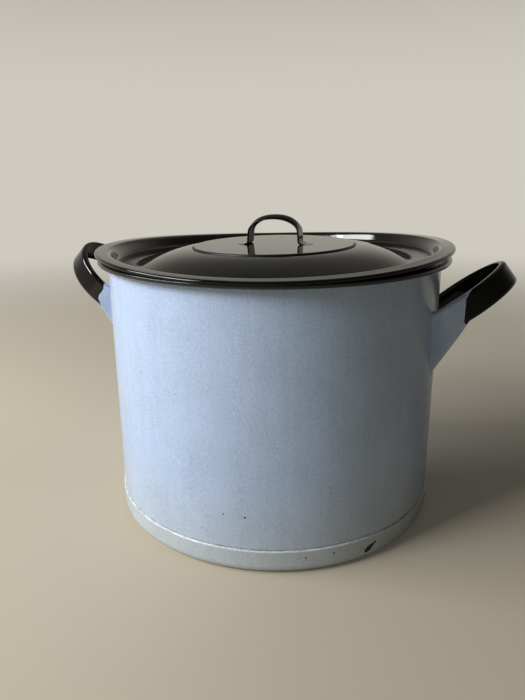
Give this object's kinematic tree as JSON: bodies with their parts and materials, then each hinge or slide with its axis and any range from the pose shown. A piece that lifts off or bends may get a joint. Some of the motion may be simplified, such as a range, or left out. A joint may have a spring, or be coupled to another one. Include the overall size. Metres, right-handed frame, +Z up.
{
  "type": "enamel stock pot",
  "caption": "Wide enamelled steel stock pot with a rolled rim, lapped base pan, slanted strap loop handles and a lift-off sunken lid with an arched strap handle.",
  "frame": {"origin": "middle of the base, on the surface that the pot stands on", "axes": "+X through the side handles, +Z up along the pot's axis"},
  "size_m": [0.558, 0.4286, 0.3627],
  "materials": {
    "pale_blue_enamel": "glossy vitreous enamel with a fine mottle, black on the rim",
    "two_tone_enamel": "glossy vitreous enamel, pale blue at the wall and black on the grip",
    "black_enamel": "glossy black vitreous enamel"
  },
  "bodies": {
    "pot": {"barrel": "pale_blue_enamel", "base_pan": "pale_blue_enamel", "handle_right": "two_tone_enamel", "handle_left": "two_tone_enamel"},
    "lid": {"lid_pan": "black_enamel", "lid_handle": "black_enamel"}
  },
  "joints": [
    {"name": "lid_lift", "type": "slide", "parent": "pot", "child": "lid", "axis": [0, 0, 1], "range_m": [0, 0.25]}
  ]
}
